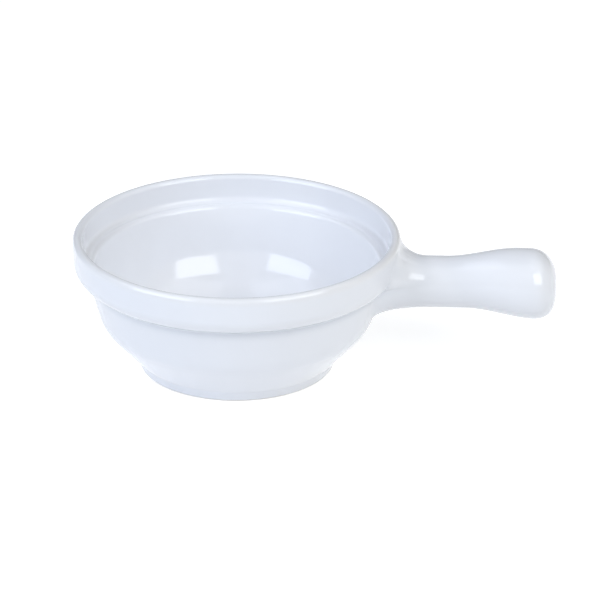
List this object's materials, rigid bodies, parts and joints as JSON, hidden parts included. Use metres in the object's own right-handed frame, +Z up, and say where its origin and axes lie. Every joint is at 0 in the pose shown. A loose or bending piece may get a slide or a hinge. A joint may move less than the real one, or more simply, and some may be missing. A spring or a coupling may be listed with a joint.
{
  "type": "soup bowl with handle",
  "caption": "White glazed soup bowl with a stepped, stackable body, a ledge inside the rim and a straight waisted stick handle.",
  "frame": {"origin": "middle of the bounding box's bottom face, on the plane that the foot ring stands on", "axes": "+X from the bowl along the handle to its tip, +Y across the bowl, +Z up out of the bowl"},
  "size_m": [0.1744, 0.118, 0.05],
  "materials": {
    "white_glaze": "gloss",
    "bare_slip": "matte"
  },
  "bodies": {
    "root": {"bowl": "white_glaze", "handle": "white_glaze", "handle_joint": "bare_slip"}
  },
  "joints": []
}
